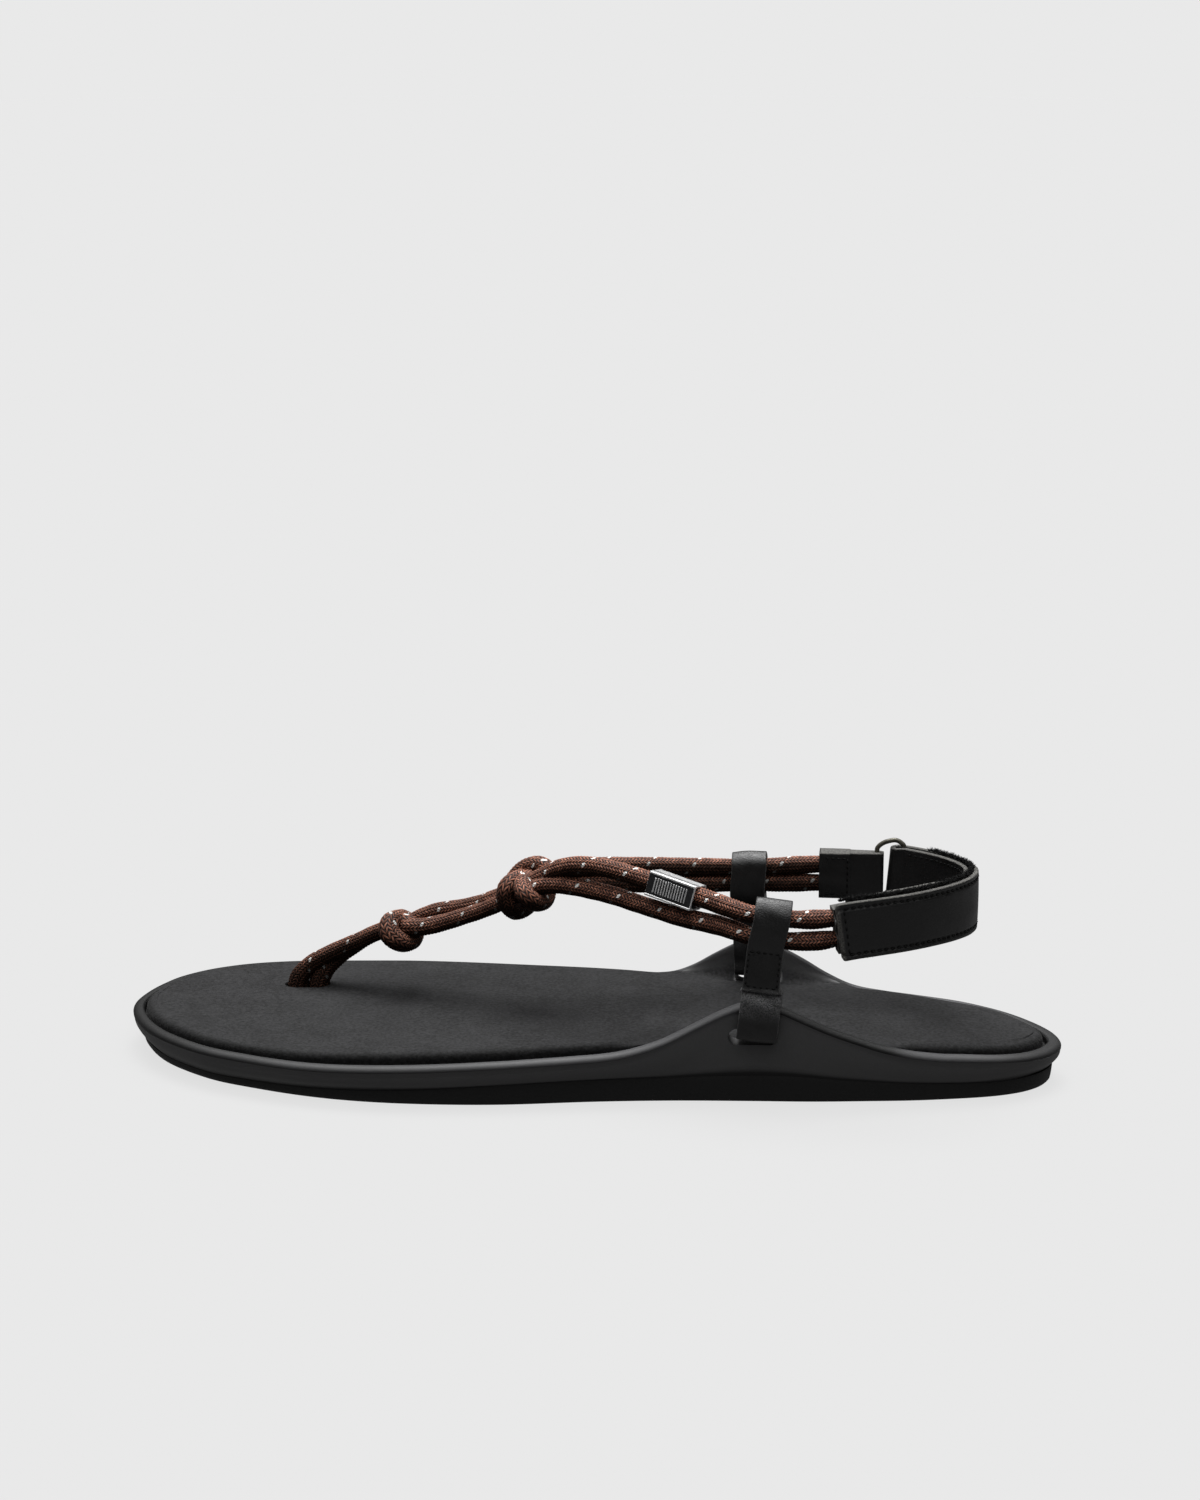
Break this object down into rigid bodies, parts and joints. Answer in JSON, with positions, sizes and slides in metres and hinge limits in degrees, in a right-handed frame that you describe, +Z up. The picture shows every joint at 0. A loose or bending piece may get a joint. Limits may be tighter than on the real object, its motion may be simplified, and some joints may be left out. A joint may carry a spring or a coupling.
{
  "type": "rope sandal",
  "caption": "Left thong sandal: flat cupped sole with two raised wings, knotted rope upper in leather keepers, ringed leather heel strap.",
  "frame": {"origin": "on the floor, under the middle of the sole's length and width", "axes": "+Z up, toe toward -X, outer (lateral) side of the left foot toward -Y"},
  "size_m": [0.2829, 0.1038, 0.065],
  "materials": {
    "outsole_rubber": "matt black rubber",
    "midsole_foam": "satin charcoal moulded foam",
    "footbed_microfibre": "matt dark grey suede-like sheet",
    "rope_brown": "dark reddish brown braid with white flecks",
    "keeper_leather_lateral": "black grained leather",
    "keeper_leather_medial": "black grained leather",
    "strap_leather": "black leather with stitched raw edges",
    "hook_and_loop": "black hook-and-loop pile",
    "ring_gunmetal": "dark gunmetal plate",
    "tab_leather": "black leather with one row of stitches",
    "bead_metal": "polished silver frame with black faces"
  },
  "bodies": {
    "root": {"outsole": "outsole_rubber", "midsole": "midsole_foam", "footbed": "footbed_microfibre", "rope_upper": "rope_brown", "keeper_lateral": "keeper_leather_lateral", "keeper_medial": "keeper_leather_medial", "heel_strap": "strap_leather", "hook_and_loop_tape": "hook_and_loop", "strap_ring": "ring_gunmetal", "ring_tab": "tab_leather", "bead": "bead_metal"}
  },
  "joints": []
}
